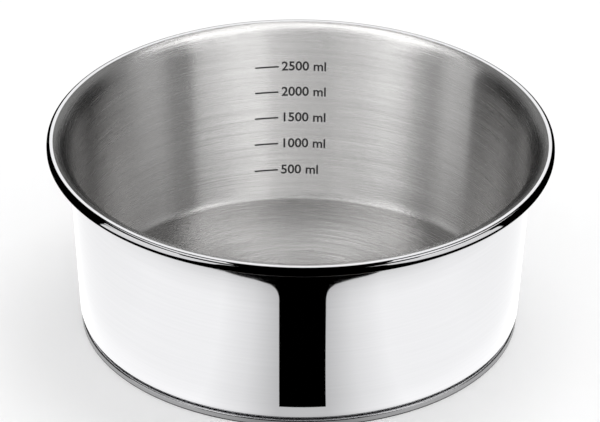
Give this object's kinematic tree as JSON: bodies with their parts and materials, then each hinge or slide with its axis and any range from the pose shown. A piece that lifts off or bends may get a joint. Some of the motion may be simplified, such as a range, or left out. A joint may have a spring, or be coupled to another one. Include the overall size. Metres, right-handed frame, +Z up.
{
  "type": "milk pail",
  "caption": "Wide, low round steel pail with a flared, rolled pouring rim, mirror-polished outside, brushed inside with capacity marks, on a flat layered base.",
  "frame": {"origin": "centre of the flat underside that the pail stands on", "axes": "+Z up along the pail's axis; -Y is the front, and the capacity marks are on the inner wall at +Y"},
  "size_m": [0.24, 0.24, 0.095],
  "materials": {
    "body_steel": "mirror-polished outside and rim, fine brushing round the inside",
    "spreader_aluminium": "bare, as blanked",
    "cap_steel": "satin, turned rings underneath",
    "mark_ink": "matt black capacity marks on the inner wall"
  },
  "bodies": {
    "root": {"pail_body": "body_steel", "heat_spreader_disc": "spreader_aluminium", "base_cap": "cap_steel"}
  },
  "joints": []
}
